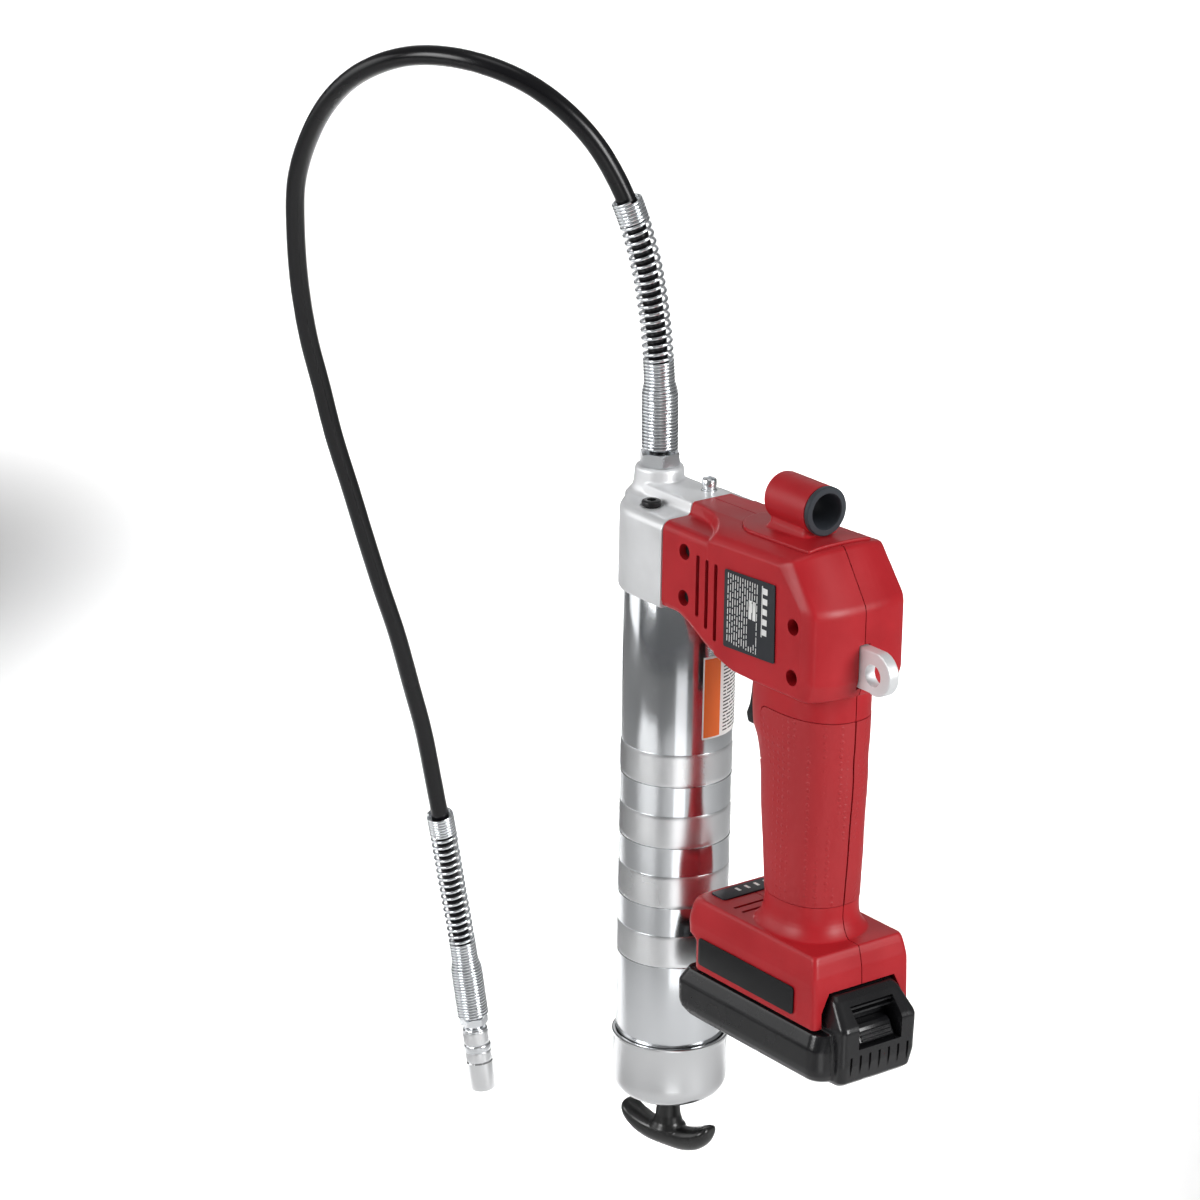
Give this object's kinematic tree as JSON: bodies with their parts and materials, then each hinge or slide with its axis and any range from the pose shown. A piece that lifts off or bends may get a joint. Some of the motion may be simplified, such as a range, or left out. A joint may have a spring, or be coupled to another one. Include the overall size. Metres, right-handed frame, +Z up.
{
  "type": "cordless grease gun",
  "caption": "Battery-driven pistol-grip grease gun: steel cartridge barrel, cast pump head, moulded housing, sliding battery, and a long whip hose with spring guards and a jaw coupler.",
  "frame": {"origin": "on the barrel axis, in the plane of the pump head's lower rim", "axes": "+Z up along the barrel to the hose outlet, +X rearward from the barrel to the grip, +Y across the gun"},
  "size_m": [0.4498, 0.1853, 0.6726],
  "materials": {
    "barrel_steel": "bright drawn steel tube, lightly brushed",
    "bright_steel": "plated steel, satin",
    "black_oxide": "black oxide on steel",
    "black_plastic": "glass-filled plastic, fine satin grain",
    "seal_rubber": "moulded seal rubber",
    "cast_alloy": "die-cast alloy, fine matt grain",
    "red_shell": "red moulded plastic, satin gloss",
    "red_grip": "red soft overmould with fine raised dots",
    "grey_rubber": "dark grey rubber",
    "hose_black": "smooth black hose cover",
    "label_dark": "printed dark label",
    "label_light": "printed pale label",
    "board_green": "circuit board",
    "cell_wrap": "plastic cell wrap"
  },
  "bodies": {
    "gun": {"barrel": "barrel_steel", "barrel_label": "label_light", "end_cap": "barrel_steel", "rod_bushing": "black_plastic", "pump_head": "cast_alloy", "cartridge_gasket": "seal_rubber", "outlet_adapter": "bright_steel", "port_plug": "black_oxide", "motor_can": "bright_steel", "gearbox_case": "cast_alloy", "housing_left": "red_shell", "housing_right": "red_shell", "grip_pad_left": "red_grip", "grip_pad_right": "red_grip", "hose_holder": "red_shell", "holder_grommet": "grey_rubber", "strap_eye": "bright_steel", "trigger_switch": "black_plastic", "head_screw_left_1": "black_oxide", "head_screw_left_2": "black_oxide", "head_screw_right_1": "black_oxide", "head_screw_right_2": "black_oxide", "housing_screw_1": "black_oxide", "housing_screw_2": "black_oxide", "spec_label": "label_dark", "badge_left": "label_dark", "badge_right": "label_dark", "gauge_panel": "label_dark", "control_board": "board_green", "terminal_block": "black_plastic", "hose": "hose_black", "hose_guard_head": "bright_steel", "hose_guard_end": "bright_steel", "hose_ferrule_head": "bright_steel", "hose_ferrule_end": "bright_steel", "coupler_adapter": "bright_steel", "coupler_body": "bright_steel", "coupler_sleeve": "bright_steel", "coupler_jaw_1": "black_oxide", "coupler_jaw_2": "black_oxide", "coupler_jaw_3": "black_oxide", "follower_spring": "bright_steel"},
    "follower": {"follower_cup": "seal_rubber", "follower_plate": "bright_steel"},
    "rod": {"plunger_rod": "bright_steel", "t_handle": "black_plastic"},
    "trigger": {"trigger": "black_plastic"},
    "motor": {"motor_rotor": "black_oxide"},
    "crank": {"crank": "bright_steel"},
    "yoke": {"pump_yoke": "bright_steel"},
    "bleed_valve": {"bleed_valve": "bright_steel"},
    "battery": {"battery_case": "black_plastic", "battery_lid": "black_plastic", "cell_1": "cell_wrap", "cell_2": "cell_wrap", "cell_3": "cell_wrap", "cell_4": "cell_wrap"},
    "battery_latch": {"battery_latch": "black_plastic"}
  },
  "joints": [
    {"name": "trigger_pull", "type": "slide", "parent": "gun", "child": "trigger", "axis": [1, 0, 0], "range_m": [0, 0.007], "stiffness_N_per_m": 600},
    {"name": "battery_slide", "type": "slide", "parent": "gun", "child": "battery", "axis": [1, 0, 0], "range_m": [0, 0.1]},
    {"name": "latch_press", "type": "slide", "parent": "battery", "child": "battery_latch", "axis": [-1, 0, 0], "range_m": [0, 0.0025], "stiffness_N_per_m": 1500},
    {"name": "follower_slide", "type": "slide", "parent": "gun", "child": "follower", "axis": [0, 0, -1], "range_m": [0, 0.2], "deforming": ["follower_spring"]},
    {"name": "rod_turn", "type": "hinge", "parent": "follower", "child": "rod", "pos_m": [0, 0, -0.3], "axis": [0, 0, 1], "range_deg": [0, 90]},
    {"name": "bleed_press", "type": "slide", "parent": "gun", "child": "bleed_valve", "axis": [0, 0, -1], "range_m": [0, 0.002], "stiffness_N_per_m": 1000},
    {"name": "motor_spin", "type": "hinge", "parent": "gun", "child": "motor", "pos_m": [0.09, 0, 0.02], "axis": [1, 0, 0], "continuous": true},
    {"name": "crank_spin", "type": "hinge", "parent": "gun", "child": "crank", "pos_m": [0.05, 0, 0.02], "axis": [1, 0, 0], "continuous": true},
    {"name": "yoke_stroke", "type": "slide", "parent": "gun", "child": "yoke", "axis": [0, 0, 1], "range_m": [-0.003, 0.003]}
  ],
  "couplings": [
    {"joint": "crank_spin", "follows": "motor_spin", "ratio": 0.02}
  ]
}
